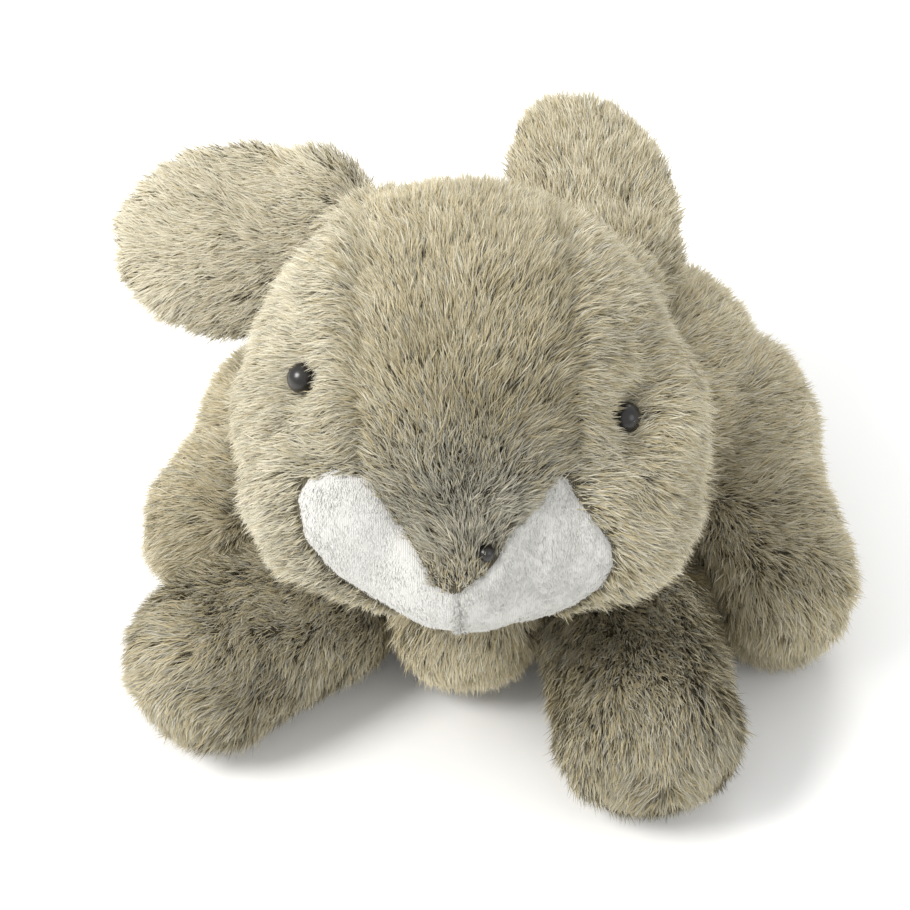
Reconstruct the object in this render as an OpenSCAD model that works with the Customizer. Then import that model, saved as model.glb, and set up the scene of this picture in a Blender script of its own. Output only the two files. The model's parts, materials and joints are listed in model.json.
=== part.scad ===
// Full-bodied plush animal hand puppet, lying on its belly.
// Millimetres. The animal faces -Y, its back is up (+Z), the viewer's right is +X.
// The origin is the centre of the flat of the belly, on the plane it rests on.

/* [Body] */
// Width of the body across the flanks
body_w = 204; // [184:1:230]
// Height of the back above the ground
body_h = 114; // [106:1:136]
// Thickness of a plush panel, backing and pressed pile together
cloth = 5; // [3:0.5:6]
// Radius of the chest bulge between the forelegs
chest_r = 34; // [28:1:38]

/* [Head] */
// Width of the head across the cheeks
head_w = 152; // [126:1:178]
// How far the head stands in front of the middle of the body
head_out = 73; // [68:1:86]
// Height of the middle of the head
head_up = 130; // [122:1:146]
// How far the head leans to one side
head_side = -13; // [-18:1:18]
// Width of the muzzle bulge
muzzle_w = 72; // [60:1:84]
// Width of the crown panel between the cheek panels
crown_w = 66; // [50:1:80]
// Diameter of an eye bead
eye_d = 11; // [9:0.5:14]
// Angle of each eye from the middle of the face
eye_spread = 50; // [38:1:58]
// Tilt of the line of the eyes
eye_tilt = 7; // [-10:1:10]
// Diameter of the nose bead
nose_d = 6; // [5:0.5:8]

/* [Ears] */
// Length of an ear
ear_l = 84; // [70:1:98]
// Width of an ear
ear_w = 62; // [52:1:70]
// Thickness of an ear, both panels
ear_t = 16; // [12:1:20]

/* [Legs] */
// Diameter of a foreleg
fore_d = 64; // [54:1:72]
// Length of a foreleg from shoulder centre to paw centre
fore_l = 49; // [38:1:58]
// Diameter of a thigh
thigh_d = 88; // [74:1:98]
// Diameter of a hind foot
foot_d = 50; // [42:1:54]
// Distance from the left hip to the tip of that foot
reach_l = 44; // [38:1:48]
// Distance from the right hip to the tip of that foot
reach_r = 66; // [54:1:72]

/* [Hand] */
// Clear diameter of the opening for the hand
hand_d = 64; // [56:1:70]
// Thickness of the lining
lining = 1.5; // [1:0.25:2.5]
// Clear diameter of a finger pocket
finger_d = 22; // [18:1:25]

/* [Hidden] */
$fn = 96;

play = 0.6;                       // gap where one soft piece turns in another
far = 400;                        // reaches past everything
body_r = body_w / 2;
flank_r = 0.42 * body_h;          // rounding of the flank
flank_x = body_r - flank_r;
arch_z = (pow(body_h - flank_r, 2) - pow(flank_x, 2) - pow(flank_r, 2))
         / (2 * (body_h - 2 * flank_r));
arch_r = body_h - arch_z;         // radius of the arched back
belly_h = cloth + 4;              // height of the seam round the belly panel
chest_c = [head_side - 7, -body_r + 15, chest_r];

head_r = head_w / 2;
head_c = [head_side, -head_out, head_up];
look = 45;                        // the face looks up by this much
neck_t = 2;
neck_r = head_r + play;
socket_r = neck_r + neck_t + play;
neck_hole = finger_d / 2 + 5;
muzzle_r = muzzle_w / 2;
muzzle_c = [-1, -0.576 * head_r, 0.335 * head_r];
crown_x = crown_w / 2;
pocket_r = finger_d / 2 + lining;

fore_r = fore_d / 2;
fore_turn = 30;                   // greatest swing of a foreleg
shoulder_l = [-0.63 * body_r, -0.78 * body_r, fore_r];
shoulder_r = [0.46 * body_r, -0.87 * body_r, fore_r];
fore_yaw_l = -54;                 // way each foreleg points, from straight ahead
fore_yaw_r = 8;

thigh_r = thigh_d / 2;
foot_r = foot_d / 2;
hip_l = [-0.775 * body_r, 1, thigh_r + 1];
hip_r = [0.78 * body_r, -6, thigh_r + 1];
foot_yaw_l = 38;                  // how far each foot points outwards
foot_yaw_r = 22;

hand_r = hand_d / 2;
hand_z = hand_r + 2 * lining + belly_h;
hem_t = 4;
hem_r = hand_r + lining + hem_t;
sleeve_in = -head_out + sqrt(pow(socket_r + 3, 2)
            - pow(head_up - hand_z - hand_r - lining, 2));

eye_r = eye_d / 2;
eye_in = 0.95 * eye_r;            // depth of an eye's middle under the cloth's face
shank_r = 1.6;
shank_l = cloth + 8;
washer_r = 6;
washer_t = 1.6;
nose_r = nose_d / 2;
nose_in = 0.5 * nose_r;

// ---------------------------------------------------------------- helpers

// frame of the face: z runs out of the middle of the face, y over the crown
module face() { translate(head_c) rotate([look, 0, 0]) children(); }

// frame of a leg whose z runs along the leg, starting at its joint
module leg_frame(at, yaw) { translate(at) rotate([0, 0, yaw]) rotate([90, 0, 0]) children(); }

// ball-ended bar along z, from the origin to l
module capsule(r, l) {
  rotate_extrude() intersection() {
    union() {
      circle(r);
      translate([0, l]) circle(r);
      translate([-r, 0]) square([2 * r, l]);
    }
    translate([0, -2 * r]) square([2 * r, l + 4 * r]);
  }
}

// closed-ended tube along z with a round end at l and its mouth at m
module stall(r, wall, m, l) {
  rotate_extrude() difference() {
    intersection() {
      union() {
        translate([0, l]) circle(r);
        translate([-r, m]) square([2 * r, l - m]);
      }
      translate([0, m]) square([2 * r, l - m + 2 * r]);
    }
    translate([0, l]) circle(r - wall);
    translate([-r, m - 1]) square([2 * r - wall, l - m + 1]);
  }
}

// bun-shaped body, shrunk by t all round: core, rounded flank and arched back
module bun(t) {
  translate([0, 0, t]) cylinder(r = flank_x, h = flank_r);
  rotate_extrude() intersection() {
    translate([flank_x, flank_r]) circle(flank_r - t);
    translate([0, -1]) square([far, far]);
  }
  intersection() {
    translate([0, 0, arch_z]) sphere(arch_r - t);
    translate([0, 0, flank_r]) cylinder(r = flank_x + 0.5 * flank_r, h = far);
  }
}

module slab(lo, hi) { translate(lo) cube(hi - lo); }

// ---------------------------------------------------------------- body

module torso_cuts() {
  translate(head_c) sphere(socket_r);
  translate(shoulder_l) sphere(fore_r / cos(fore_turn) + play);
  translate(shoulder_r) sphere(fore_r / cos(fore_turn) + play);
  translate(hip_l) sphere(thigh_r + play);
  translate(hip_r) sphere(thigh_r + play);
  left_hip() foot(reach_l, play);
  right_hip() foot(reach_r, play);
  translate([0, 0, hand_z]) rotate([-90, 0, 0]) cylinder(r = hem_r, h = far);
}

module torso_skin() {
  difference() {
    union() { bun(0); translate(chest_c) sphere(chest_r); }
    bun(cloth);
    translate(chest_c) sphere(chest_r - cloth);
    torso_cuts();
  }
}

// the front of the body, under the head
module chest_zone() slab([-0.5 * body_r, -far, belly_h], [0.36 * body_r, -0.2 * body_r, 0.55 * body_h]);

module back_left() color("tan") difference() {
  intersection() {
    torso_skin();
    slab([-far, -far, belly_h], [0, far, far]);
  }
  chest_zone();
}

module back_right() color("tan") difference() {
  intersection() {
    torso_skin();
    slab([0, -far, belly_h], [far, far, far]);
  }
  chest_zone();
}

module chest_panel() color("wheat") intersection() {
  torso_skin();
  chest_zone();
}

module belly_panel() color("burlywood") intersection() {
  torso_skin();
  slab([-far, -far, -1], [far, far, belly_h]);
}

module hand_sleeve() color("lightgrey") translate([0, 0, hand_z]) rotate([-90, 0, 0])
  difference() {
    translate([0, 0, sleeve_in]) cylinder(r = hand_r + lining, h = body_r + 2 - sleeve_in);
    translate([0, 0, sleeve_in - 1]) cylinder(r = hand_r, h = far);
  }

module opening_hem() color("darkkhaki") translate([0, 0, hand_z]) rotate([-90, 0, 0])
  rotate_extrude() translate([hand_r + lining, 0]) intersection() {
    union() {
      translate([0, body_r - 20]) square([hem_t, 20]);
      translate([hem_t / 2, body_r]) circle(hem_t / 2);
    }
    translate([0, 0]) square([2 * hem_t, 2 * body_r]);
  }

// ---------------------------------------------------------------- neck

module neck_gusset() color("darkkhaki") face() rotate([180, 0, 0]) difference() {
  intersection() {
    sphere(neck_r + neck_t);
    cylinder(r = 0.52 * head_r, h = far);
  }
  sphere(neck_r);
  cylinder(r = neck_hole, h = far);
}

// ---------------------------------------------------------------- head

module head_form(t) {
  sphere(head_r - t);
  translate(muzzle_c) sphere(muzzle_r - t);
}

module eye_spots() {
  rotate([0, 0, -eye_tilt]) for (s = [-1, 1]) rotate([0, s * eye_spread, 0])
    translate([0, 0, head_r - eye_in]) sphere(eye_r);
}

module head_skin() face() difference() {
  head_form(0);
  head_form(cloth);
  eye_spots();
  eye_shanks();
  nose_spot();
  rotate([180, 0, 0]) cylinder(r = pocket_r, h = far);
}

brow_y = -0.33 * head_r;          // top edge of the white patches
jaw_z = 0.2 * head_r;             // seam under the white patches
patch_x = 0.68 * head_r;          // half the width of the white patches

// front of the muzzle, covered by the two white patches
module muzzle_zone() face() translate([muzzle_c[0], 0, 0])
  slab([-patch_x, -far, jaw_z], [patch_x, brow_y, far]);

// under the jaw
module chin_zone() face() slab([-far, -far, -far], [far, brow_y, jaw_z]);

// tan bridge running down to the nose between the two white patches
module bridge_zone() face() translate([muzzle_c[0], 0, jaw_z])
  linear_extrude(far) polygon([[-3, -0.84 * head_r], [3, -0.84 * head_r],
                               [30, brow_y + 1], [-30, brow_y + 1]]);

module crown_slab() slab([head_c[0] - crown_x, -far, -far], [head_c[0] + crown_x, far, far]);

module crown_panel() color("tan") {
  difference() {
    intersection() { head_skin(); crown_slab(); }
    muzzle_zone();
    chin_zone();
  }
  intersection() { head_skin(); muzzle_zone(); bridge_zone(); }
}

module cheek(s) color("wheat") difference() {
  intersection() {
    head_skin();
    translate([head_c[0], 0, 0]) slab([s < 0 ? -far : 0, -far, -far], [s < 0 ? 0 : far, far, far]);
  }
  crown_slab();
  muzzle_zone();
  chin_zone();
}

module cheek_left() cheek(-1);
module cheek_right() cheek(1);

module chin_panel() color("tan") intersection() { head_skin(); chin_zone(); }

module muzzle(s) color("white") difference() {
  intersection() {
    head_skin();
    muzzle_zone();
    translate([head_c[0] + muzzle_c[0], 0, 0])
      slab([s < 0 ? -far : 0, -far, -far], [s < 0 ? 0 : far, far, far]);
  }
  bridge_zone();
}

module muzzle_left() muzzle(-1);
module muzzle_right() muzzle(1);

// the nose bead sits a little to one side of the middle of the muzzle
module nose_at() translate(muzzle_c) rotate([13, 14, 0]) translate([0, 0, muzzle_r - nose_in])
  children();
module nose_spot() nose_at() sphere(nose_r);
module nose_bead() color("black") face() nose_at() sphere(nose_r);

// an eye: bead, shank through the cloth, lock washer inside
module eye_at(s) rotate([0, 0, -eye_tilt]) rotate([0, s * eye_spread, 0])
  translate([0, 0, head_r]) children();
module shank() translate([0, 0, -shank_l]) cylinder(r = shank_r, h = shank_l);
module eye_shanks() for (s = [-1, 1]) eye_at(s) shank();
module eye_ball() translate([0, 0, -eye_in]) sphere(eye_r);
module eye(s) color("black") face() eye_at(s) {
  eye_ball();
  shank();
}
module eye_left() eye(-1);
module eye_right() eye(1);
module washer_body() translate([0, 0, -shank_l]) cylinder(r = washer_r, h = washer_t);
module eye_washer(s) color("white") face() eye_at(s) difference() {
  washer_body();
  shank();
}
module eye_washer_left() eye_washer(-1);
module eye_washer_right() eye_washer(1);

// one half of the head's filling, cut along the middle of the face
module head_filling(s) color("ivory") face() difference() {
  intersection() {
    head_form(cloth);
    slab([s < 0 ? -far : 0, -far, -far], [s < 0 ? 0 : far, far, far]);
  }
  for (e = [-1, 1]) eye_at(e) { shank(); washer_body(); }
  eye_spots();
  nose_spot();
  rotate([180, 0, 0]) translate([0, 0, -8]) cylinder(r = pocket_r, h = far);
  translate([0, 0, 8]) sphere(pocket_r);
}
module head_stuffing_left() head_filling(-1);
module head_stuffing_right() head_filling(1);

module head_finger_pocket() color("lightgrey") face()
  stall(pocket_r, lining, -head_r + 1, 8);

// ---------------------------------------------------------------- ears

ear_h = 5;                        // radius of the stitched fold an ear hangs from
ear_seat_l = [-37, 62, -48] * head_r / 76;
ear_seat_r = [58, 44, -48] * head_r / 76;

// frame of an ear: z runs along it from its fold, x across it
module ear_l_frame() face() translate(ear_seat_l) rotate([0, 92, 184]) rotate([0, 0, 86]) children();
module ear_r_frame() face() translate(ear_seat_r) rotate([0, 125, 99]) rotate([0, 0, -70]) children();

// the stitched fold, and the tab that joins it to the head
module ear_root() {
  rotate([0, 90, 0]) cylinder(r = ear_h, h = 0.6 * ear_w, center = true);
  slab([-0.25 * ear_w, -3, -14], [0.25 * ear_w, 3, -1]);
}
module ear_root_left() color("tan") difference() {
  ear_l_frame() ear_root();
  face() sphere(head_r);
}
module ear_root_right() color("tan") difference() {
  ear_r_frame() ear_root();
  face() sphere(head_r);
}

// one ear panel: half of a flattened egg, grooved for the fold
module ear_panel(s) difference() {
  translate([0, 0, ear_l / 2]) scale([ear_w / ear_l, ear_t / ear_l, 1]) sphere(d = ear_l);
  slab([-far, s < 0 ? 0 : -far, -far], [far, s < 0 ? far : 0, far]);
  rotate([0, 90, 0]) cylinder(r = ear_h + play, h = far, center = true);
}
module ear_left_back() color("tan") ear_l_frame() ear_panel(-1);
module ear_left_front() color("wheat") ear_l_frame() ear_panel(1);
module ear_right_back() color("tan") ear_r_frame() ear_panel(-1);
module ear_right_front() color("wheat") ear_r_frame() ear_panel(1);

// ---------------------------------------------------------------- forelegs

fore_pocket_l = fore_l * 0.55;
module foreleg_skin() color("tan") difference() {
  capsule(fore_r, fore_l);
  capsule(fore_r - cloth, fore_l);
  translate([0, 0, -fore_r]) cylinder(r = pocket_r, h = fore_r);
}
module foreleg_stuffing() color("ivory") difference() {
  capsule(fore_r - cloth, fore_l);
  translate([0, 0, -fore_r]) cylinder(r = pocket_r, h = fore_r + fore_pocket_l);
  translate([0, 0, fore_pocket_l]) sphere(pocket_r);
}
module foreleg_pocket() color("lightgrey") stall(pocket_r, lining, -fore_r + 4, fore_pocket_l);

module left_fore() leg_frame(shoulder_l, fore_yaw_l) children();
module right_fore() leg_frame(shoulder_r, fore_yaw_r) children();
module foreleg_left_skin() left_fore() foreleg_skin();
module foreleg_left_stuffing() left_fore() foreleg_stuffing();
module foreleg_left_pocket() left_fore() foreleg_pocket();
module foreleg_right_skin() right_fore() foreleg_skin();
module foreleg_right_stuffing() right_fore() foreleg_stuffing();
module foreleg_right_pocket() right_fore() foreleg_pocket();

// ---------------------------------------------------------------- hind legs

module left_hip() translate(hip_l) rotate([0, 0, -foot_yaw_l]) children();
module right_hip() translate(hip_r) rotate([0, 0, foot_yaw_r]) children();

// a foot seen from its hip, grown by g all round
module foot(reach, g) translate([0, -0.4 * reach, foot_r - thigh_r - 1])
  rotate([90, 0, 0]) capsule(foot_r + g, 0.6 * reach);
module hind_form(reach, g) { sphere(thigh_r + g); foot(reach, g); }
module hindleg_skin(reach) color("tan") difference() {
  hind_form(reach, 0);
  hind_form(reach, -cloth);
}
module hindleg_stuffing(reach) color("ivory") hind_form(reach, -cloth);
module hindleg_left_skin() left_hip() hindleg_skin(reach_l);
module hindleg_left_stuffing() left_hip() hindleg_stuffing(reach_l);
module hindleg_right_skin() right_hip() hindleg_skin(reach_r);
module hindleg_right_stuffing() right_hip() hindleg_stuffing(reach_r);

// ---------------------------------------------------------------- assembly

back_left();
back_right();
chest_panel();
belly_panel();
hand_sleeve();
opening_hem();
neck_gusset();
crown_panel();
cheek_left();
cheek_right();
chin_panel();
muzzle_left();
muzzle_right();
nose_bead();
eye_left();
eye_right();
eye_washer_left();
eye_washer_right();
head_stuffing_left();
head_stuffing_right();
head_finger_pocket();
ear_root_left();
ear_root_right();
ear_left_back();
ear_left_front();
ear_right_back();
ear_right_front();
foreleg_left_skin();
foreleg_left_stuffing();
foreleg_left_pocket();
foreleg_right_skin();
foreleg_right_stuffing();
foreleg_right_pocket();
hindleg_left_skin();
hindleg_left_stuffing();
hindleg_right_skin();
hindleg_right_stuffing();
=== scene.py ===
"""Full-bodied plush hand puppet in long-pile fur: padded skins, pile, beads, lining, studio."""

import json
import math

import bmesh
import bpy
import numpy as np
from mathutils import Matrix, Vector


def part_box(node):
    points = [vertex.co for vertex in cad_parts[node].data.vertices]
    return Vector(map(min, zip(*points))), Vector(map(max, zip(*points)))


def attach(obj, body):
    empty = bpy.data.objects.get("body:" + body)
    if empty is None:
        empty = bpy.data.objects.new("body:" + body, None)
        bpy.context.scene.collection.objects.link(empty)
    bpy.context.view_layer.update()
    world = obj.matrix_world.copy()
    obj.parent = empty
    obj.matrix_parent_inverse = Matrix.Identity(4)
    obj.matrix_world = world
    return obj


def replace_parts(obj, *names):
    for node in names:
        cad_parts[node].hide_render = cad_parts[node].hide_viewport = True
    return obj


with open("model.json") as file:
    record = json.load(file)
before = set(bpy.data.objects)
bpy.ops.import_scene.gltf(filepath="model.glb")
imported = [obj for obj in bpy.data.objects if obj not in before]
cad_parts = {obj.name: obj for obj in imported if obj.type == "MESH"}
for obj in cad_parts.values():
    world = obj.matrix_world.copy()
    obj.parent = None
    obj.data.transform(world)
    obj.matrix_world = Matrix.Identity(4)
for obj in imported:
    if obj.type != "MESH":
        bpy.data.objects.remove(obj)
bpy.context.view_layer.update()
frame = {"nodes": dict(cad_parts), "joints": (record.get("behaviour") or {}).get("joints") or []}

# ------------------------------------------------------------------ sizes, in metres
MM = 0.001
JOINT = {j["name"]: j for j in frame["joints"]}


def pivot(joint):
    """Where a joint turns, as a numpy point."""
    return np.array(JOINT[joint]["pos_m"], float)


HEAD = pivot("neck_nod")
SHOULDER_L, SHOULDER_R = pivot("foreleg_left_lift"), pivot("foreleg_right_lift")
HIP_L, HIP_R = pivot("hindleg_left_splay"), pivot("hindleg_right_splay")
EAR_L, EAR_R = pivot("ear_left_flop"), pivot("ear_right_flop")
BACK_HI = np.array(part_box("back_left")[1])
BODY_R = BACK_HI[1] + 0.007           # radius of the body's plan
BODY_H = BACK_HI[2]                   # height of the back
HEM_LO, HEM_HI = (np.array(v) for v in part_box("opening_hem"))
HAND = np.array([0, 0, (HEM_LO[2] + HEM_HI[2]) / 2])
HEM_R = (HEM_HI[2] - HEM_LO[2]) / 2

LOOK = math.radians(45)               # the face looks up this much
FACE = np.array([[1, 0, 0],
                 [0, math.cos(LOOK), -math.sin(LOOK)],
                 [0, math.sin(LOOK), math.cos(LOOK)]])   # columns: right, crown, out of the face


def from_face(p):
    """A point of the face's own frame, in millimetres, as a point of the row frame."""
    return HEAD + FACE @ (np.asarray(p, float) * MM)


def to_face(points):
    """Row-frame points in the face's own frame, in millimetres."""
    return (points - HEAD) @ FACE / MM


def unit(v):
    v = np.asarray(v, float)
    return v / np.maximum(np.linalg.norm(v, axis=-1, keepdims=True), 1e-12)


def rise(x, soft):
    """A smooth step from 0 to 1 at x = 0."""
    return 1 / (1 + np.exp(-x / soft))


# ------------------------------------------------------------------ shader helpers
class Net:
    """One material's nodes."""

    def __init__(self, name):
        self.mat = bpy.data.materials.new(name)
        self.mat.use_nodes = True
        self.tree = self.mat.node_tree
        self.tree.nodes.clear()

    def node(self, kind, settings=None, **sockets):
        """Adds a node: its settings first, then its sockets, by name with _ for a space."""
        made = self.tree.nodes.new(kind)
        for key, value in (settings or {}).items():
            if key == "stops":
                ramp = made.color_ramp
                while len(ramp.elements) < len(value):
                    ramp.elements.new(0.5)
                for stop, (at, colour) in zip(ramp.elements, value):
                    stop.position = at
                    stop.color = (*colour, 1)
            else:
                setattr(made, key, value)
        for key, value in sockets.items():
            socket = self.socket(made, key)
            if isinstance(value, Sock):
                self.tree.links.new(value.out, socket)
            else:
                socket.default_value = value
        return made

    @staticmethod
    def socket(made, key):
        if key[0] == "i" and key[1:].isdigit():
            return made.inputs[int(key[1:])]
        return made.inputs[key.replace("_", " ")]

    def out(self, made, name=0):
        return Sock(self, made.outputs[name])

    def noise(self, scale, detail=3.0, at=None, rough=0.5):
        made = self.node("ShaderNodeTexNoise", Scale=scale, Detail=detail, Roughness=rough,
                         Vector=at or self.place())
        return self.out(made, "Fac")

    def threads(self, at, axis, scale):
        """Evenly spaced threads across one axis."""
        made = self.node("ShaderNodeTexWave", {"bands_direction": axis}, Vector=at, Scale=scale)
        return self.out(made, "Fac")

    def place(self):
        return self.out(self.node("ShaderNodeTexCoord"), "Object")

    def own_map(self):
        return self.out(self.node("ShaderNodeTexCoord"), "UV")

    def ramp(self, value, stops):
        return self.out(self.node("ShaderNodeValToRGB", {"stops": stops}, Fac=value), "Color")

    def blend(self, share, a, b):
        made = self.node("ShaderNodeMix", {"data_type": "RGBA"}, i0=share, i6=a, i7=b)
        return self.out(made, 2)

    def bump(self, height, strength, distance):
        made = self.node("ShaderNodeBump", Height=height, Strength=strength, Distance=distance)
        return self.out(made, "Normal")

    def finish(self, **sockets):
        shader = self.node("ShaderNodeBsdfPrincipled", **sockets)
        end = self.node("ShaderNodeOutputMaterial")
        self.tree.links.new(shader.outputs[0], end.inputs[0])
        return self.mat


class Sock:
    """A socket that takes part in Python expressions, each adding a Math node."""

    def __init__(self, net, out):
        self.net, self.out = net, out

    def _math(self, op, a, b):
        return self.net.out(self.net.node("ShaderNodeMath", {"operation": op}, i0=a, i1=b))

    def __add__(self, other):
        return self._math("ADD", self, other)

    __radd__ = __add__

    def __mul__(self, other):
        return self._math("MULTIPLY", self, other)

    __rmul__ = __mul__

    def __sub__(self, other):
        return self._math("SUBTRACT", self, other)

    def __rsub__(self, other):
        return self._math("SUBTRACT", other, self)

    def __gt__(self, other):
        return self._math("GREATER_THAN", self, other)

    def floor(self):
        return self._math("FLOOR", self, 0.0)


# ------------------------------------------------------------------ materials
# Colours of the pile, root, middle and tip, for the darkest and the palest fibre of each family.
# Dark roots are partly the fibres' own tipping and partly painted shade for the depth of the pile.
WARM = (((0.105, 0.086, 0.046), (0.245, 0.205, 0.118), (0.41, 0.36, 0.23)),
        ((0.18, 0.15, 0.085), (0.46, 0.395, 0.235), (0.86, 0.765, 0.54)))
COOL = (((0.090, 0.085, 0.064), (0.20, 0.19, 0.145), (0.36, 0.34, 0.27)),
        ((0.15, 0.142, 0.11), (0.38, 0.36, 0.285), (0.80, 0.765, 0.64)))
PALE = (((0.12, 0.104, 0.066), (0.30, 0.27, 0.185), (0.52, 0.48, 0.36)),
        ((0.26, 0.235, 0.165), (0.62, 0.57, 0.43), (0.95, 0.90, 0.74)))
SNOW = (((0.44, 0.435, 0.41), (0.51, 0.505, 0.475), (0.56, 0.555, 0.52)),
        ((0.62, 0.615, 0.585), (0.71, 0.705, 0.67), (0.77, 0.765, 0.73)))
FAMILIES = (WARM, COOL, PALE, SNOW)
BANDS = len(FAMILIES)


def pile_finish(name, rough=0.65):
    """Fur. The map is a colour card: u from the darkest fibre to the palest, v in one band for
    each family of fibre, from root to tip inside the band."""
    net = Net(name)
    parts = net.node("ShaderNodeSeparateXYZ", Vector=net.own_map())
    tone, card = net.out(parts, "X"), net.out(parts, "Y") * BANDS
    band = card.floor()
    along = card - band
    colour = None
    for number, (dark, pale) in enumerate(FAMILIES):
        ends = [net.ramp(along, list(zip((0.0, 0.5, 1.0), stops))) for stops in (dark, pale)]
        family = net.blend(tone, *ends)
        colour = family if colour is None else net.blend(band > number - 0.5, colour, family)
    return net.finish(Base_Color=colour, Roughness=rough, **{"Specular IOR Level": 0.2})


def knit_backing(name, dark, pale):
    """The knitted cloth that the pile is rooted in."""
    net = Net(name)
    at = net.place()
    courses = net.out(net.node("ShaderNodeTexWave", {"wave_type": "BANDS"}, Vector=at, Scale=420.0,
                               Distortion=2.0, Detail=2.0), "Fac")
    tone = courses * 0.4 + net.noise(90.0, 3.0, at) * 0.6
    return net.finish(Base_Color=net.ramp(tone, [(0.2, dark), (0.8, pale)]), Roughness=0.9,
                      Normal=net.bump(courses, 0.4, 0.0004))


def woven_lining(name, dark, pale, scale=900.0):
    """Thin plain-woven lining cloth, its threads along all three axes."""
    net = Net(name)
    at = net.place()
    warp, weft, fill = (net.threads(at, axis, scale) for axis in "XZY")
    cloth = warp * 0.34 + weft * 0.33 + fill * 0.33
    tone = cloth * 0.5 + net.noise(35.0, 4.0, at) * 0.5
    return net.finish(Base_Color=net.ramp(tone, [(0.25, dark), (0.75, pale)]), Roughness=0.8,
                      Normal=net.bump(cloth, 0.35, 0.0002))


def fibre_fill(name):
    """Polyester filling."""
    net = Net(name)
    at = net.place()
    curl = net.noise(160.0, 6.0, at, 0.7)
    colour = net.ramp(curl, [(0.3, (0.62, 0.61, 0.58)), (0.7, (0.86, 0.85, 0.82))])
    return net.finish(Base_Color=colour, Roughness=0.95, Normal=net.bump(curl, 0.8, 0.002))


def moulded_bead(name):
    """Black moulded eye or nose, its gloss dulled by handling."""
    net = Net(name)
    at = net.place()
    haze = net.noise(120.0, 4.0, at)
    colour = net.ramp(haze, [(0.3, (0.006, 0.005, 0.005)), (0.7, (0.02, 0.017, 0.014))])
    return net.finish(Base_Color=colour, Roughness=haze * 0.15 + 0.22,
                      **{"Coat Weight": 0.2, "Coat Roughness": 0.15})


def moulded_washer(name):
    """Milky moulded lock washer."""
    net = Net(name)
    grain = net.noise(300.0, 3.0)
    colour = net.ramp(grain, [(0.3, (0.6, 0.6, 0.57)), (0.7, (0.75, 0.75, 0.72))])
    return net.finish(Base_Color=colour, Roughness=0.45, Normal=net.bump(grain, 0.1, 0.0002))


PILE = pile_finish("fur_pile")
# The tan pile's backing is as dark as its roots: partly the cloth's own colour, partly painted
# shade deep in the pile.
BACKING = knit_backing("fur_backing", (0.07, 0.06, 0.038), (0.15, 0.13, 0.085))
WHITE_BACKING = knit_backing("white_backing", (0.56, 0.555, 0.53), (0.64, 0.635, 0.605))
LINING = woven_lining("lining_cloth", (0.36, 0.33, 0.27), (0.52, 0.48, 0.40))
BINDING = woven_lining("hem_binding", (0.22, 0.19, 0.12), (0.36, 0.31, 0.21), 600.0)
FILLING = fibre_fill("fibre_filling")
BEAD = moulded_bead("black_bead")
WASHER = moulded_washer("lock_washer")


# ------------------------------------------------------------------ padded skins
def ball(bm, centre, radii, turn=None):
    """Adds a squashed ball; centre in metres, radii in millimetres."""
    place = Matrix.Translation(Vector(centre)) @ (turn or Matrix.Identity(4))
    size = Matrix.Diagonal((*[r * MM for r in radii], 1))
    bmesh.ops.create_uvsphere(bm, u_segments=48, v_segments=24, radius=1, matrix=place @ size)


def bar(bm, start, end, r0, r1):
    """Adds a limb: balls along a line, their radii going from r0 to r1 millimetres."""
    start, end = np.asarray(start, float), np.asarray(end, float)
    steps = max(3, int(np.linalg.norm(end - start) / (6 * MM)))
    for i in range(steps + 1):
        t = i / steps
        ball(bm, start + (end - start) * t, [r0 + (r1 - r0) * t] * 3)


def baked(ob, name):
    """A plain mesh object with ob's modifiers applied; ob is removed."""
    bpy.context.view_layer.update()
    mesh = bpy.data.meshes.new_from_object(ob.evaluated_get(bpy.context.evaluated_depsgraph_get()))
    made = bpy.data.objects.new(name, mesh)
    bpy.context.scene.collection.objects.link(made)
    mesh.name = name
    bpy.data.objects.remove(ob)
    return made


def object_of(bm, name):
    mesh = bpy.data.meshes.new(name)
    bm.to_mesh(mesh)
    bm.free()
    made = bpy.data.objects.new(name, mesh)
    bpy.context.scene.collection.objects.link(made)
    return made


def skin(name, fill, cutters=(), voxel=3.2, smooth=10):
    """One closed padded form from overlapping balls, with balls and bores cut out of it."""
    bm = bmesh.new()
    fill(bm)
    ob = object_of(bm, name + "_form")
    mod = ob.modifiers.new("join", "REMESH")
    mod.mode, mod.voxel_size = "VOXEL", voxel * MM
    mod = ob.modifiers.new("ease", "SMOOTH")
    mod.factor, mod.iterations = 0.5, smooth
    made = baked(ob, name)
    for cutter in cutters:
        mod = made.modifiers.new("cut", "BOOLEAN")
        mod.object, mod.operation, mod.solver = cutter, "DIFFERENCE", "EXACT"
        made = baked(made, name)
    bpy.context.view_layer.update()
    for cutter in cutters:
        bpy.data.objects.remove(cutter)
    made.data.polygons.foreach_set("use_smooth", [True] * len(made.data.polygons))
    return made


def ball_cutter(centre, radius):
    bm = bmesh.new()
    bmesh.ops.create_icosphere(bm, subdivisions=5, radius=radius * MM,
                               matrix=Matrix.Translation(Vector(centre)))
    return object_of(bm, "cutter")


def bore_cutter(centre, radius, length):
    """A bore along +Y from centre."""
    bm = bmesh.new()
    middle = Matrix.Translation(Vector(centre) + Vector((0, length / 2, 0)))
    bmesh.ops.create_cone(bm, cap_ends=True, segments=64, radius1=radius * MM, radius2=radius * MM,
                          depth=length, matrix=middle @ Matrix.Rotation(math.pi / 2, 4, "X"))
    return object_of(bm, "cutter")


def vertices(mesh):
    co = np.empty(len(mesh.vertices) * 3)
    mesh.vertices.foreach_get("co", co)
    return co.reshape(-1, 3)


def normals(mesh):
    no = np.empty(len(mesh.vertices) * 3)
    mesh.vertices.foreach_get("normal", no)
    return no.reshape(-1, 3)


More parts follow.
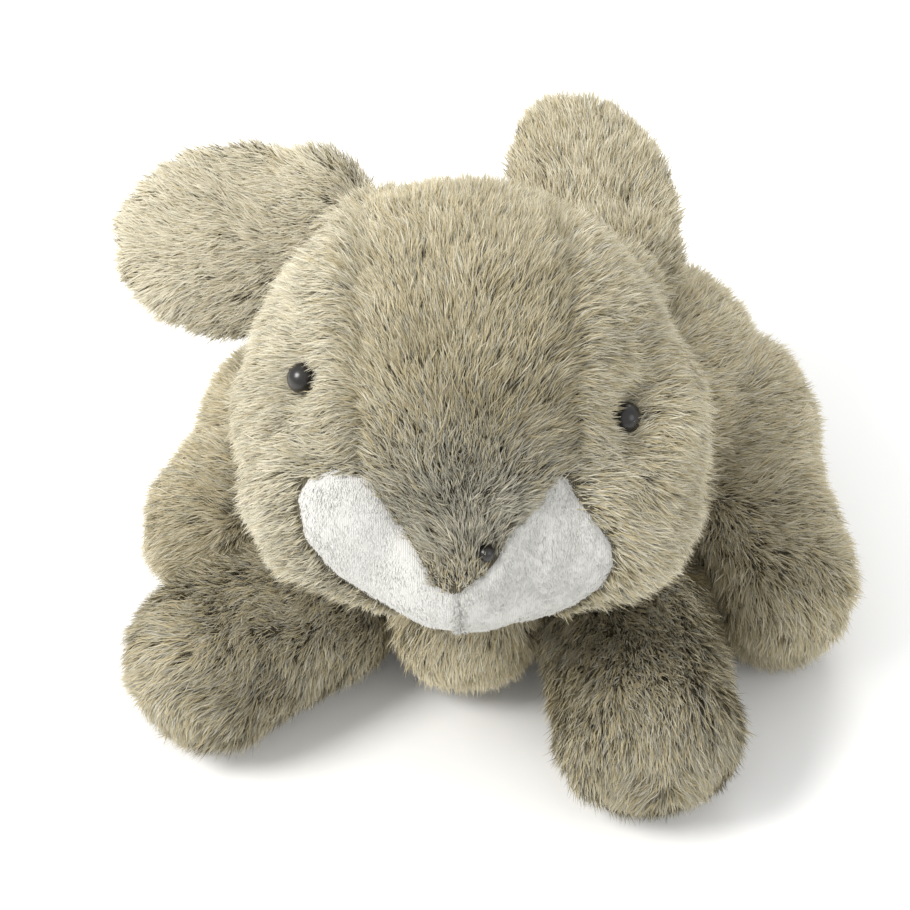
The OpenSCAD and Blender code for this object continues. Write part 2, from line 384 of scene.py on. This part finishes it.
def push(ob, amount):
    """Moves each vertex along its normal by amount(points), in millimetres."""
    co = vertices(ob.data)
    co += normals(ob.data) * (amount(co) * MM)[:, None]
    ob.data.vertices.foreach_set("co", co.ravel())
    ob.data.update()


def dimple(d2, radius):
    """A round soft hollow, 1 at its middle, from squared distances."""
    return np.exp(-d2 / radius ** 2)


def squared(d):
    """Squared lengths of rows."""
    return (d ** 2).sum(1)


SEAM_X = 33.0                         # crown seams, either side of the middle
NOSE_AT = to_face(np.mean([np.array(v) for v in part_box("nose_bead")], 0)[None])[0]
EYE_AT = {"left": np.array([-54.9, 2.0, 49.3]), "right": np.array([54.5, -5.0, 50.0])}
EYE_LEAN = {"left": 0.5, "right": 0.0}  # how far each eye's hollow leans outwards as it rises


def head_fill(bm):
    """Crown, cheeks, jowls, muzzle and the two ear roots; centres and radii in the face's frame."""
    turn = Matrix(FACE.tolist()).to_4x4()
    for centre, radii in (((0, 0, 0), (72, 73, 72)),
                          ((-27, -12, 8), (47, 50, 50)), ((32, -12, 5), (49, 50, 50)),
                          ((-34, -28, 20), (38, 38, 40)), ((41, -32, 16), (37, 37, 38)),
                          ((-1, -43.8, 25.5), (36, 35.5, 35)),
                          ((-20, -41, 22), (31, 31, 31)), ((24, -42, 20), (32, 32.5, 32)),
                          ((-31, 56, -38), (20, 19, 18)), ((52, 40, -42), (18, 17, 16))):
        ball(bm, from_face(centre), radii, turn)


def head_relief(points):
    """Seams pulled in, the eyes and the nose sunk, the cheeks raised beside the eyes."""
    q = to_face(points)
    x, y, z = q.T
    front = rise(z - 5, 4)
    above = rise(y + 24, 3)
    seams = sum(depth * dimple((x - at) ** 2, 4.2) for at, depth in ((-SEAM_X, 3.6), (SEAM_X, 2.2)))
    out = -seams * front * above
    for name, e in EYE_AT.items():
        d = q - e
        across = d[:, 0] - EYE_LEAN[name] * d[:, 1]
        beside = across - np.sign(e[0]) * 14
        out -= 8.5 * np.exp(-(across / 7.5) ** 2 - (d[:, 1] / 12.0) ** 2) * (z > 0)
        out += 3.0 * np.exp(-(beside / 7.0) ** 2 - (d[:, 1] / 20.0) ** 2) * (z > 0)
    out -= 3.4 * dimple(squared(q - NOSE_AT), 4.5)
    return out


def torso_fill(bm):
    """A flat bun, its crown, the chest under the chin and the two flanks."""
    r, h = BODY_R / MM, BODY_H / MM
    ball(bm, (0, 0, 0.47 * BODY_H), (r - 5, r - 5, 0.47 * h - 3))
    ball(bm, (0, 0, 0.55 * BODY_H), (r - 14, r - 12, 0.45 * h - 5))
    ball(bm, (-0.012, -BODY_R + 0.019, 0.035), (28, 28, 28))
    ball(bm, (0.054, 0.004, 0.057), (49, 60, 48))
    ball(bm, (-0.048, -0.012, 0.052), (50, 56, 44))


def leg_way(yaw):
    """The level way a leg points, yaw degrees from straight ahead."""
    return np.array([math.sin(math.radians(yaw)), -math.cos(math.radians(yaw)), 0])


WAY_L, WAY_R = leg_way(-54), leg_way(8)
HIND_WAY_L, HIND_WAY_R = leg_way(-38), leg_way(22)
FORE_LEN = 0.049
TOE_Z = 0.0245                        # height of a hind foot's middle
HAUNCH_SHIFT = (0.005, -0.006, -0.002)  # the left haunch's middle from its hip


def foreleg_fill(at, way, top, thick, shift):
    """A thick straight leg with a broad, blunt paw; shift moves the paw sideways, millimetres."""
    across = np.cross(way, (0, 0, 1))

    def fill(bm):
        paw = at + way * FORE_LEN + across * shift * MM
        bar(bm, at, paw, top, thick)
        for side in (-1, 1):
            ball(bm, paw + way * 0.004 + across * side * 0.009 + (0, 0, -0.003), [thick - 8] * 3)
    return fill


def hindleg_fill(at, way, reach, haunch, foot):
    """A round haunch that runs down into a foot."""
    def fill(bm):
        ball(bm, at, (haunch, haunch + 1, haunch))
        toe = at + way * reach
        heel = at + way * reach * 0.4
        heel[2] = toe[2] = TOE_Z
        bar(bm, heel, toe, foot - 1, foot)
        bar(bm, at + np.array([0, 0, -0.004]), toe + np.array([0, 0, 0.010]),
            haunch - 4, foot + 3)
    return fill


def ear_fill(seat, across, along, length, width, thick):
    """A long leaf of padded cloth, thicker at the rim than a flat one."""
    across, along = Vector(across), Vector(along)
    up = along.cross(across).normalized()
    turn = Matrix((across, up, along)).transposed().to_4x4()

    def fill(bm):
        for at, wide, deep, long in ((0.52, 0.5, 0.5, 0.5), (0.62, 0.44, 0.55, 0.33),
                                     (0.2, 0.46, 0.55, 0.26)):
            ball(bm, Vector(seat) + along * length * at * MM,
                 (width * wide, thick * deep, length * long), turn)
    return fill


SOCKET = 78.6                         # radius of the neck seat, millimetres
EAR_LEN, EAR_THICK = 86, 15
EAR_WIDTH = {"left": 66, "right": 60}
EAR_SHIFT = {"left": (0, 0.001, 0.001), "right": (-0.003, 0, -0.001)}


def make_skins():
    """The padded form of each body, by the body's name."""
    made = {"head": skin("head_skin", head_fill, voxel=2.6, smooth=14)}
    push(made["head"], head_relief)
    cutters = [ball_cutter(HEAD, SOCKET - 2),
               ball_cutter(SHOULDER_L, 31), ball_cutter(SHOULDER_R, 31),
               ball_cutter(HIP_L, 42.5), ball_cutter(HIP_R, 42.5),
               bore_cutter(HAND + np.array([0, -0.03, 0]), HEM_R / MM + 0.2, 0.2)]
    made["torso"] = skin("torso_skin", torso_fill, cutters)
    for name, fill in (
            ("foreleg_left", foreleg_fill(SHOULDER_L, WAY_L, 26, 28.5, 1)),
            ("foreleg_right", foreleg_fill(SHOULDER_R, WAY_R, 29, 29.5, 0.5)),
            ("hindleg_left", hindleg_fill(HIP_L + HAUNCH_SHIFT, HIND_WAY_L, 0.049, 39, 24)),
            ("hindleg_right", hindleg_fill(HIP_R, HIND_WAY_R, 0.070, 42.5, 22.5))):
        made[name] = skin(name + "_skin_pad", fill)
    for side, seat, along in (("left", EAR_L, EAR_ALONG_L), ("right", EAR_R, EAR_ALONG_R)):
        across = np.array(JOINT["ear_%s_flop" % side]["axis"], float)
        fill = ear_fill(seat + np.array(EAR_SHIFT[side]), across, along, EAR_LEN, EAR_WIDTH[side],
                        EAR_THICK)
        made["ear_" + side] = skin("ear_%s_pad" % side, fill, voxel=2.0, smooth=6)
    return made


def ear_along(nodes, seat, across):
    """The way an ear points: from its seat to the middle of its panels, square to its fold."""
    lo, hi = (np.array(v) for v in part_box(nodes))
    d = (lo + hi) / 2 - seat
    across = unit(across)
    return unit(d - across * (d @ across))


EAR_ALONG_L = ear_along("ear_left_back", EAR_L, JOINT["ear_left_flop"]["axis"])
EAR_ALONG_R = ear_along("ear_right_back", EAR_R, JOINT["ear_right_flop"]["axis"])


# ------------------------------------------------------------------ pile
class Swirl:
    """Smooth seeded noise over space: a sum of waves, from -1 to 1."""

    def __init__(self, seed, size_mm, waves=7):
        rng = np.random.default_rng(seed)
        ways = unit(rng.normal(size=(waves, 3)))
        self.k = ways * (2 * math.pi / (size_mm * MM * rng.uniform(0.7, 1.6, (waves, 1))))
        self.phase = rng.uniform(0, 2 * math.pi, waves)

    def __call__(self, p):
        return np.sin(p @ self.k.T + self.phase).sum(1) / math.sqrt(len(self.phase)) * 0.8


BEND_A, BEND_B, LIFT, SHADE, PATCHES = (Swirl(s, size) for s, size in
                                        ((11, 26), (12, 14), (13, 12), (14, 16), (15, 40)))


def surface_points(mesh, count, rng, wanted):
    """count random points and normals over the faces whose centres are wanted."""
    mesh.calc_loop_triangles()
    tri = np.empty(len(mesh.loop_triangles) * 3, np.int32)
    mesh.loop_triangles.foreach_get("vertices", tri)
    tri = tri.reshape(-1, 3)
    co, no = vertices(mesh), normals(mesh)
    a, b, c = co[tri[:, 0]], co[tri[:, 1]], co[tri[:, 2]]
    size = np.linalg.norm(np.cross(b - a, c - a), axis=1) / 2
    share = size * wanted((a + b + c) / 3, unit(np.cross(b - a, c - a)))
    count = int(count * share.sum() / MM ** 2)
    pick = rng.choice(len(tri), count, p=share / share.sum())
    u, v = rng.random((2, count, 1))
    fold = u + v > 1
    u, v = np.where(fold, 1 - u, u), np.where(fold, 1 - v, v)
    t = tri[pick]
    points = co[t[:, 0]] * (1 - u - v) + co[t[:, 1]] * u + co[t[:, 2]] * v
    return points, unit(no[t[:, 0]] * (1 - u - v) + no[t[:, 1]] * u + no[t[:, 2]] * v)


def turned(a, b, angle):
    """Unit vectors a, each turned towards its b, which is square to it."""
    return a * np.cos(angle)[:, None] + b * np.sin(angle)[:, None]


CARD_WIDE = 0.007                     # half the width of a blade on the colour card
CARD_ALONG = (0.05, 0.5, 0.5, 0.95)   # root, middle twice and tip of a blade on the card


def grow(name, mesh, body, wanted, nap, seed, families=(1, 0, 0, 0),
         family_of=None, per_mm2=3.0, length=9.5, lean=52, tuft=8, spread=1.2, width=0.42,
         gather=0.4, tone=0.5, mottle=1.0, round_=0.65, tone_of=None, length_of=None):
    """Fur on a skin: tufts of slender blades, each bent once, that follow the nap.

    lean is in degrees from upright; length, spread and width are in millimetres. round_ is the
    share of the skin's own normal in a blade's shading, and mottle scales all changes of tone.
    """
    rng = np.random.default_rng(seed)
    P, N = surface_points(mesh, per_mm2 / tuft, rng, wanted)
    n = len(P)
    T = nap(P)
    T = unit(T - N * (T * N).sum(1, keepdims=True))
    B = np.cross(N, T)
    turn = BEND_A(P) * 0.30 + BEND_B(P) * 0.25 + rng.normal(0, 0.15, n)
    T, B = turned(T, B, turn), turned(B, -T, turn)
    tilt = np.radians(lean + 9 * LIFT(P) + rng.normal(0, 6, n))
    reach = length * MM * (1 + 0.10 * SHADE(P)) * rng.uniform(0.88, 1.1, n)
    if length_of is not None:
        reach = reach * length_of(P)
    shade = tone + mottle * (0.10 * SHADE(P) + 0.10 * PATCHES(P) + rng.normal(0, 0.07, n))
    if tone_of is not None:
        shade = shade + tone_of(P, N)
    odds = np.tile(np.array(families, float), (n, 1)) if family_of is None else family_of(P)

    def per(v):
        return np.repeat(v, tuft, axis=0)

    m = n * tuft
    odds = per(np.cumsum(odds / odds.sum(1, keepdims=True), 1))
    family = (rng.random(m)[:, None] > odds[:, :-1]).sum(1)
    P, N, T, B = per(P), per(N), per(T), per(B)
    off = rng.normal(0, spread * MM, (m, 2))
    off = T * off[:, :1] + B * off[:, 1:]
    tilt = per(tilt) + rng.normal(0, 0.15, m)
    reach = per(reach) * rng.uniform(0.62, 1.16, m)
    side = turned(T, B, rng.normal(0, 0.20, m))
    reach = reach[:, None]
    root = P + off - N * 0.7 * MM
    mid = root + turned(N, side, tilt * 0.70) * reach * 0.48 - off * gather * 0.5
    tip = mid + turned(N, side, tilt * 1.25) * reach * 0.52 - off * gather * 0.5
    along = unit(tip - root)
    roll = rng.uniform(-0.9, 0.9, m)
    flat = unit(np.cross(along, N))
    flat = turned(flat, np.cross(along, flat), roll)
    wide = (width * MM * rng.uniform(0.65, 1.3, m))[:, None]
    v = np.stack([root, mid - flat * wide * 0.5, mid + flat * wide * 0.5, tip], 1)
    out = np.cross(flat, along)
    shine = unit(N * round_ + out * (1 - round_) + rng.normal(0, 0.15 * (1 - round_), (m, 3)))
    shine = np.repeat(shine[:, None], 4, 1)
    mesh = strand_mesh(name, v, shine)
    u = np.clip(per(shade) + mottle * rng.normal(0, 0.16, m), 0.03, 0.97)[:, None]
    card = (family[:, None] + np.array([CARD_ALONG])) / BANDS
    uv = np.stack([np.concatenate([u, u - CARD_WIDE, u + CARD_WIDE, u], 1), card], 2)
    layer = mesh.uv_layers.new(name="OFBake")
    layer.uv.foreach_set("vector", uv[:, BLADE_CORNERS].astype(np.float32).ravel())
    made = bpy.data.objects.new(name, mesh)
    bpy.context.scene.collection.objects.link(made)
    mesh.materials.append(PILE)
    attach(made, body)
    print("pile", name, m, "blades")
    return made


BLADE_CORNERS = np.array([0, 2, 1, 1, 2, 3])


def strand_mesh(name, v, shine):
    """One mesh of m blades, each two triangles that meet along the blade's widest line."""
    m = len(v)
    mesh = bpy.data.meshes.new(name)
    mesh.vertices.add(m * 4)
    mesh.vertices.foreach_set("co", v.astype(np.float32).ravel())
    mesh.loops.add(m * 6)
    loops = np.arange(m, dtype=np.int32)[:, None] * 4 + BLADE_CORNERS.astype(np.int32)
    mesh.loops.foreach_set("vertex_index", loops.ravel())
    mesh.polygons.add(m * 2)
    mesh.polygons.foreach_set("loop_start", np.arange(m * 2, dtype=np.int32) * 3)
    mesh.polygons.foreach_set("use_smooth", np.ones(m * 2, bool))
    mesh.update(calc_edges=True)
    layer = mesh.attributes.new("custom_normal", "FLOAT_VECTOR", "POINT")
    layer.data.foreach_set("vector", shine.astype(np.float32).ravel())
    return mesh


# the outline of the two white patches, in the face's own frame, millimetres
PATCH = np.array([(-55, -32), (-51, -27), (-43, -24), (-33, -26), (-27, -33), (-18, -47),
                  (-10, -62), (-3, -66), (6, -59), (14, -47), (22, -36), (29, -27), (33, -26),
                  (37, -33), (44, -42), (49, -49), (50, -56), (46, -64), (38, -70), (24, -76),
                  (9, -80), (-12, -78), (-24, -71), (-42, -60), (-53, -47)], float)
PATCH_BACK = 8                        # the patches end this far out of the face's middle


def patch_distance(points):
    """Distance outside the white patches' outline, negative inside, in millimetres."""
    q = to_face(points)
    xy, z = q[:, :2], q[:, 2]
    a, b = PATCH, np.roll(PATCH, -1, 0)
    best = np.full(len(xy), 1e9)
    inside = np.zeros(len(xy), bool)
    for p0, p1 in zip(a, b):
        e = p1 - p0
        t = np.clip(((xy - p0) @ e) / (e @ e), 0, 1)[:, None]
        best = np.minimum(best, np.linalg.norm(xy - p0 - t * e, axis=1))
        crosses = (p0[1] > xy[:, 1]) != (p1[1] > xy[:, 1])
        with np.errstate(divide="ignore", invalid="ignore"):
            at = (p1[0] - p0[0]) * (xy[:, 1] - p0[1]) / (p1[1] - p0[1]) + p0[0]
        inside ^= crosses & (xy[:, 0] < at)
    front = z > PATCH_BACK
    return np.where(inside & front, -best, np.where(front, best, best + (PATCH_BACK - z)))


def head_nap(p):
    """Up over the forehead, outwards over the cheeks, back under the jaw."""
    q = to_face(p)
    x, y, z = q.T
    ax = np.abs(x)
    crown = np.stack([x / 60, np.ones_like(x), -0.2 * np.ones_like(x)], 1)
    bridge = np.stack([x / 22, np.ones_like(x), 0 * x], 1)
    low = rise(-(y + 30), 8)[:, None]
    crown = unit(crown) * (1 - low) + unit(bridge) * low
    fall = np.interp(y, (-60, -25, 10, 45, 70), (-0.75, -0.4, -0.12, 0.35, 0.9))
    cheek = np.stack([np.sign(x), fall, -0.25 + 0 * x], 1)
    chin = np.stack([x / 50, -np.ones_like(x), -0.6 + 0 * x], 1)
    back = np.stack([x / 60, 0.2 + 0 * x, -np.ones_like(x)], 1)
    w = rise(SEAM_X - ax, 2.5)[:, None]
    d = unit(crown) * w + unit(cheek) * (1 - w)
    under = ((y < -68) | ((y < -25) & (z < 14)))[:, None]
    d = np.where(under, chin, d)
    for name, e in EYE_AT.items():
        r = q - e
        across = r[:, 0] - EYE_LEAN[name] * r[:, 1]
        w = (0.92 * np.exp(-(np.linalg.norm(r, axis=1) / 10) ** 2))[:, None]
        lids = np.stack([-np.tanh(across / 2), 0.45 + 0 * x, 0 * x], 1)
        d = d * (1 - w) + lids * w
    behind = rise(-(z + 12), 8)[:, None]
    d = d * (1 - behind) + unit(back) * behind
    return d @ FACE.T


def away_from_head(p):
    """Nap of the body: away from the head, and down at the sides."""
    d = unit(p - HEAD)
    low = np.clip((0.09 - p[:, 2:3]) / 0.06, 0, 1)
    d = d + np.array([0, 0.35, 0]) - np.array([0, 0, 0.35]) * low
    front = np.clip((-0.07 - p[:, 1:2]) / 0.03, 0, 1)
    return d * (1 - front) + np.array([0, -0.25, -1.0]) * front


def along_limb(at, way, out, down=0.0):
    """Nap of a leg or an ear: along it from its seat, a little outwards, and a little down."""
    def nap(p):
        r = p - at
        r = r - way * (r @ way)[:, None]
        return way + unit(r) * out + np.array([0, 0, -down])
    return nap


skins = make_skins()
for body, ob in skins.items():
    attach(ob, body)
    ob.data.materials.clear()
    ob.data.materials.append(BACKING)
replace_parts(skins["head"], "crown_panel", "cheek_left", "cheek_right", "chin_panel",
            "ear_root_left", "ear_root_right")
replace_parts(skins["torso"], "back_left", "back_right", "chest_panel", "belly_panel")
for side in ("left", "right"):
    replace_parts(skins["foreleg_" + side], "foreleg_%s_skin" % side)
    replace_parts(skins["hindleg_" + side], "hindleg_%s_skin" % side)
    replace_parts(skins["ear_" + side], "ear_%s_back" % side, "ear_%s_front" % side)


# ------------------------------------------------------------------ white patches
def white_patches():
    """The two short-pile patches: their part of the head's skin, lifted a little."""
    made = []
    for side in ("left", "right"):
        bm = bmesh.new()
        bm.from_mesh(skins["head"].data)
        co = np.array([f.calc_center_median()[:] for f in bm.faces])
        q = to_face(co)
        mine = (patch_distance(co) < 3.0) & ((q[:, 0] < -1) == (side == "left"))
        bm.faces.ensure_lookup_table()
        gone = [bm.faces[i] for i in np.nonzero(~mine)[0]]
        bmesh.ops.delete(bm, geom=gone, context="FACES")
        ob = object_of(bm, "muzzle_patch_" + side)
        push(ob, lambda p: np.clip(-patch_distance(p) * 0.5, -1.5, 1.4)
             - 1.4 * dimple(squared(to_face(p) - NOSE_AT), 5))
        mod = ob.modifiers.new("thick", "SOLIDIFY")
        mod.thickness, mod.offset = 1.0 * MM, -1
        ob = baked(ob, "muzzle_patch_" + side)
        ob.data.polygons.foreach_set("use_smooth", [True] * len(ob.data.polygons))
        ob.data.materials.clear()
        ob.data.materials.append(WHITE_BACKING)
        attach(ob, "head")
        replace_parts(ob, "muzzle_" + side)
        made.append(ob)
    return made


patches = white_patches()


# ------------------------------------------------------------------ fur
EYE_CLEAR, NOSE_CLEAR = 3.2, 3.6      # no pile this near the middle of a bead


def head_wanted(low, high):
    """The head's tan fur: outside the patches, x between two limits, not in the neck seat."""
    def wanted(c, n):
        q = to_face(c)
        d = patch_distance(c)
        keep = (d > 0.5) & (q[:, 0] >= low) & (q[:, 0] < high)
        eye = np.minimum(*(np.linalg.norm(q - e, axis=1) for e in EYE_AT.values()))
        nose = np.linalg.norm(q - NOSE_AT, axis=1)
        seat = q[:, 2] < -0.80 * np.linalg.norm(q, axis=1)
        keep = keep & (eye > EYE_CLEAR) & (nose > NOSE_CLEAR) & ~seat
        return np.where(keep, np.where(q[:, 2] < -20, 0.55, 1.0), 0.0)
    return wanted


def head_tone_light_and_shade(p, n):
    """Darker on the forehead and at the nose; painted shade in the seams' creases and round the
    sunk eye hollows; paler at the crown's top; painted light on the right side, which the lamps
    leave in shade.
    """
    x, y, z = to_face(p).T
    ax = np.abs(x)
    tone = -0.10 * np.exp(-((y + 40) / 26) ** 2 - (ax / 28) ** 2)
    tone -= 0.24 * np.exp(-((y - 2) / 26) ** 2 - (ax / 34) ** 2)
    tone += 0.04 * (ax > SEAM_X) + 0.12 * np.clip((y - 40) / 30, 0, 1)
    # painted shade in the creases of the crown seams
    tone -= 0.20 * np.exp(-((ax - SEAM_X) / 3.5) ** 2) * (z > 0) * (y > -20)
    # painted shade in the sunk eye hollows
    for e in EYE_AT.values():
        tone -= 0.38 * dimple(squared(to_face(p) - e), 9)
    # painted light: the right side made paler against the lamps' shade there
    return tone + 0.10 * np.clip(x / 40, 0, 1)


def head_length(p):
    """Shorter towards the white patches."""
    return np.clip(0.55 + patch_distance(p) / 14, 0.55, 1)


def head_family_and_lit_side(p):
    """Cream on the cheeks, and much paler on the side the left ear is on, where the palest family
    is painted light from the key lamp's side; greyer down towards the nose.
    """
    x, y, z = to_face(p).T
    # painted light: the key-lit left side gets the palest fibres
    pale = np.clip(0.15 + 0.55 * rise(-(x + SEAM_X), 5) + 0.20 * (x > SEAM_X), 0, 1)
    cool = np.clip(0.85 * np.exp(-((y + 38) / 24) ** 2 - (x / 34) ** 2) + 0.12, 0, 1)
    warm = np.clip(1 - pale - cool, 0.05, 1)
    return np.stack([warm, cool, pale, 0 * x], 1)


def white_wanted(c, n):
    """The outer face of a white patch, clear of the nose bead."""
    outer = (n * (c - HEAD)).sum(1) > 0
    clear = np.linalg.norm(to_face(c) - NOSE_AT, axis=1) > NOSE_CLEAR
    return ((patch_distance(c) < 1.5) & outer & clear).astype(float)


def white_nap(p):
    """Brushed down and a little forward."""
    return np.zeros_like(p) + np.array([0, -0.4, -1.0])


EDGE = 200                            # beyond the head's side, in its frame's millimetres
for i, (name, low, high) in enumerate((("left", -EDGE, -SEAM_X), ("crown_left", -SEAM_X, 0),
                                       ("crown_right", 0, SEAM_X), ("right", SEAM_X, EDGE))):
    grow("head_fur_" + name, skins["head"].data, "head", head_wanted(low, high), head_nap, 100 + i,
         family_of=head_family_and_lit_side, per_mm2=3.6, tone=0.40, tone_of=head_tone_light_and_shade, length_of=head_length)

# Painted shade: the right white patch's pile gets a far lower tone than the left's, for the lamps'
# shade on that side.
for i, (side, tone) in enumerate((("left", 0.85), ("right", 0.30))):
    grow("muzzle_pile_" + side, patches[i].data, "head", white_wanted, white_nap, 120 + i,
         families=(0, 0, 0, 1), per_mm2=9.0, length=1.9, lean=66, tuft=5,
         spread=0.7, width=0.50, gather=0.1, tone=tone, mottle=0.25, round_=0.99)


def torso_wanted(low, high):
    """The body's fur: x between two limits, clear of the neck, the leg seats and the opening."""
    seats = ((HEAD, SOCKET + 1.5), (SHOULDER_L, 31.8), (SHOULDER_R, 31.8),
             (HIP_L, 43.2), (HIP_R, 43.2))

    def wanted(c, n):
        seated = np.any([np.linalg.norm(c - at, axis=1) < r * MM for at, r in seats], axis=0)
        bore = (np.hypot(c[:, 0] - HAND[0], c[:, 2] - HAND[2]) < HEM_R + 0.002) & (c[:, 1] > -0.04)
        keep = (c[:, 0] >= low) & (c[:, 0] < high) & ~seated & ~bore
        return np.where(keep, np.where(n[:, 2] < -0.75, 0.35, 1.0), 0.0)
    return wanted


def chest_painted_light(p, n):
    """Painted light: paler on the chest, against the shade under the chin."""
    return 0.35 * np.clip((-0.085 - p[:, 1]) / 0.02, 0, 1)


BODY_MIX = (0.66, 0.12, 0.22, 0)
FAR = 1.0
# Painted light: the right side's pile is paler, against the shade the lamps leave there.
for i, (side, low, high, tone) in enumerate((("left", -FAR, 0.0, 0.54), ("right", 0.0, FAR, 0.62))):
    grow("body_fur_" + side, skins["torso"].data, "torso", torso_wanted(low, high), away_from_head,
         200 + i, families=BODY_MIX, per_mm2=2.8, tone=tone, tone_of=chest_painted_light)


def leg_wanted(hidden):
    """A leg's fur, left off where the leg is seated in the body."""
    def wanted(c, n):
        return np.where(hidden(c), 0.0, np.where(n[:, 2] < -0.8, 0.5, 1.0))
    return wanted


def in_body(margin):
    """Inside the body's plan by more than a margin, at any height."""
    def test(c):
        return np.hypot(c[:, 0], c[:, 1]) < BODY_R - margin * MM
    return test


def shoulder_painted_light(at, gain):
    """Painted light: paler near the shoulder by gain, against the shade under the chin."""
    return lambda p, n: gain * np.exp(-(np.linalg.norm(p - at, axis=1) / 0.03) ** 2)


def haunch_nap(at):
    """Away from the head and from the hip."""
    return lambda p: away_from_head(p) + unit(p - at) * 0.5


# Painted light and shade: the right leg gets more painted light at its shoulder, against the shade
# under the chin, and a lower base tone, painted shade on the side the lamps light less.
for i, (side, at, way, tone, near) in enumerate((("left", SHOULDER_L, WAY_L, 0.38, 0.25),
                                                 ("right", SHOULDER_R, WAY_R, 0.26, 0.55))):
    grow("foreleg_fur_" + side, skins["foreleg_" + side].data, "foreleg_" + side,
         leg_wanted(lambda c: in_body(16)(c) & (np.abs(c[:, 2] - 0.045) < 0.04)),
         along_limb(at, way, 0.5, 0.35), 300 + i, families=(0.55, 0.35, 0.10, 0), per_mm2=3.2,
         tone=tone, tone_of=shoulder_painted_light(at, near))
# Painted light: the right haunch's pile is paler, against the shade the lamps leave on that side.
for i, (side, at, tone) in enumerate((("left", HIP_L, 0.48), ("right", HIP_R, 0.56))):
    grow("hindleg_fur_" + side, skins["hindleg_" + side].data, "hindleg_" + side,
         leg_wanted(in_body(30)), haunch_nap(at), 320 + i, families=BODY_MIX, per_mm2=3.0,
         tone=tone)
# Painted light: the left ear, on the key-lit side, gets the palest mix and tone; the right ear
# stays darker.
for i, (side, seat, along, mix, tone) in enumerate((
        ("left", EAR_L, EAR_ALONG_L, (0.15, 0.05, 0.80, 0), 0.82),
        ("right", EAR_R, EAR_ALONG_R, (0.55, 0.05, 0.40, 0), 0.62))):
    grow("ear_fur_" + side, skins["ear_" + side].data, "ear_" + side, lambda c, n: np.ones(len(c)),
         along_limb(seat, along, 0.35), 340 + i, families=mix, per_mm2=3.4, tone=tone)


# ------------------------------------------------------------------ carried-over nodes
def wear(finish, *names):
    """Gives nodes of the frame a finish."""
    for n in names:
        mesh = frame["nodes"][n].data
        mesh.materials.clear()
        mesh.materials.append(finish)


wear(LINING, "hand_sleeve", "head_finger_pocket", "foreleg_left_pocket", "foreleg_right_pocket")
wear(BINDING, "opening_hem", "neck_gusset")
wear(BEAD, "eye_left", "eye_right", "nose_bead")
wear(WASHER, "eye_washer_left", "eye_washer_right")


def filling(body, fill, *nodes):
    """Filling that keeps clear of the skin round it."""
    ob = skin(body + "_fibre", fill, voxel=5.0, smooth=4)
    ob.data.materials.clear()
    ob.data.materials.append(FILLING)
    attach(ob, body)
    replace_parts(ob, *nodes)


filling("head", lambda bm: ball(bm, HEAD, (56, 56, 56)),
        "head_stuffing_left", "head_stuffing_right")
for side, at, way, hip in (("left", SHOULDER_L, WAY_L, HIP_L), ("right", SHOULDER_R, WAY_R, HIP_R)):
    filling("foreleg_" + side, lambda bm: bar(bm, at, at + way * FORE_LEN, 20, 21),
            "foreleg_%s_stuffing" % side)
    filling("hindleg_" + side, lambda bm: ball(bm, hip, (34, 34, 34)),
            "hindleg_%s_stuffing" % side)


# ------------------------------------------------------------------ studio
def floor():
    bm = bmesh.new()
    bmesh.ops.create_grid(bm, x_segments=1, y_segments=1, size=6)
    ob = object_of(bm, "floor")
    net = Net("paper")
    tone = net.noise(3.0, 2.0)
    colour = net.ramp(tone, [(0.3, (0.93, 0.93, 0.92)), (0.7, (0.95, 0.95, 0.94))])
    ob.data.materials.append(net.finish(Base_Color=colour, Roughness=0.9))
    ob.location.z = -0.0005


def soft_light(name, at, aim, size, power, colour=(1, 1, 1)):
    data = bpy.data.lights.new(name, "AREA")
    data.shape, data.size, data.energy, data.color = "DISK", size, power, colour
    ob = bpy.data.objects.new(name, data)
    ob.location = at
    ob.rotation_euler = (Vector(aim) - Vector(at)).to_track_quat("-Z", "Y").to_euler()
    bpy.context.scene.collection.objects.link(ob)


def studio():
    floor()
    world = bpy.data.worlds.new("studio")
    world.use_nodes = True
    sky = world.node_tree.nodes["Background"]
    sky.inputs["Color"].default_value = (1.0, 1.0, 1.0, 1)
    sky.inputs["Strength"].default_value = 0.86
    bpy.context.scene.world = world
    soft_light("key", (-1.05, -0.5, 1.25), (0, -0.03, 0.08), 0.7, 22, (1.0, 0.985, 0.96))
    soft_light("fill", (1.2, -0.9, 0.9), (0, 0, 0.08), 1.0, 4, (0.96, 0.98, 1.0))
    soft_light("back", (0.3, 1.3, 1.1), (0, 0, 0.1), 0.8, 10)
    bpy.context.scene.view_settings.view_transform = "Standard"


DISTANCE = 1.0                        # from the camera to what it looks at


def camera():
    """Looks down at 45 degrees from the front, as the animal lies on a table."""
    data = bpy.data.cameras.new("camera")
    data.lens, data.sensor_width = 106.8, 36
    aim = Vector((-0.016, -0.05, 0.08))
    back = Vector((0, -math.cos(LOOK), math.sin(LOOK)))
    ob = bpy.data.objects.new("camera", data)
    ob.location = aim + back * DISTANCE
    ob.rotation_euler = back.to_track_quat("Z", "Y").to_euler()
    data.clip_start = 0.05
    bpy.context.scene.collection.objects.link(ob)
    bpy.context.scene.camera = ob


studio()
camera()
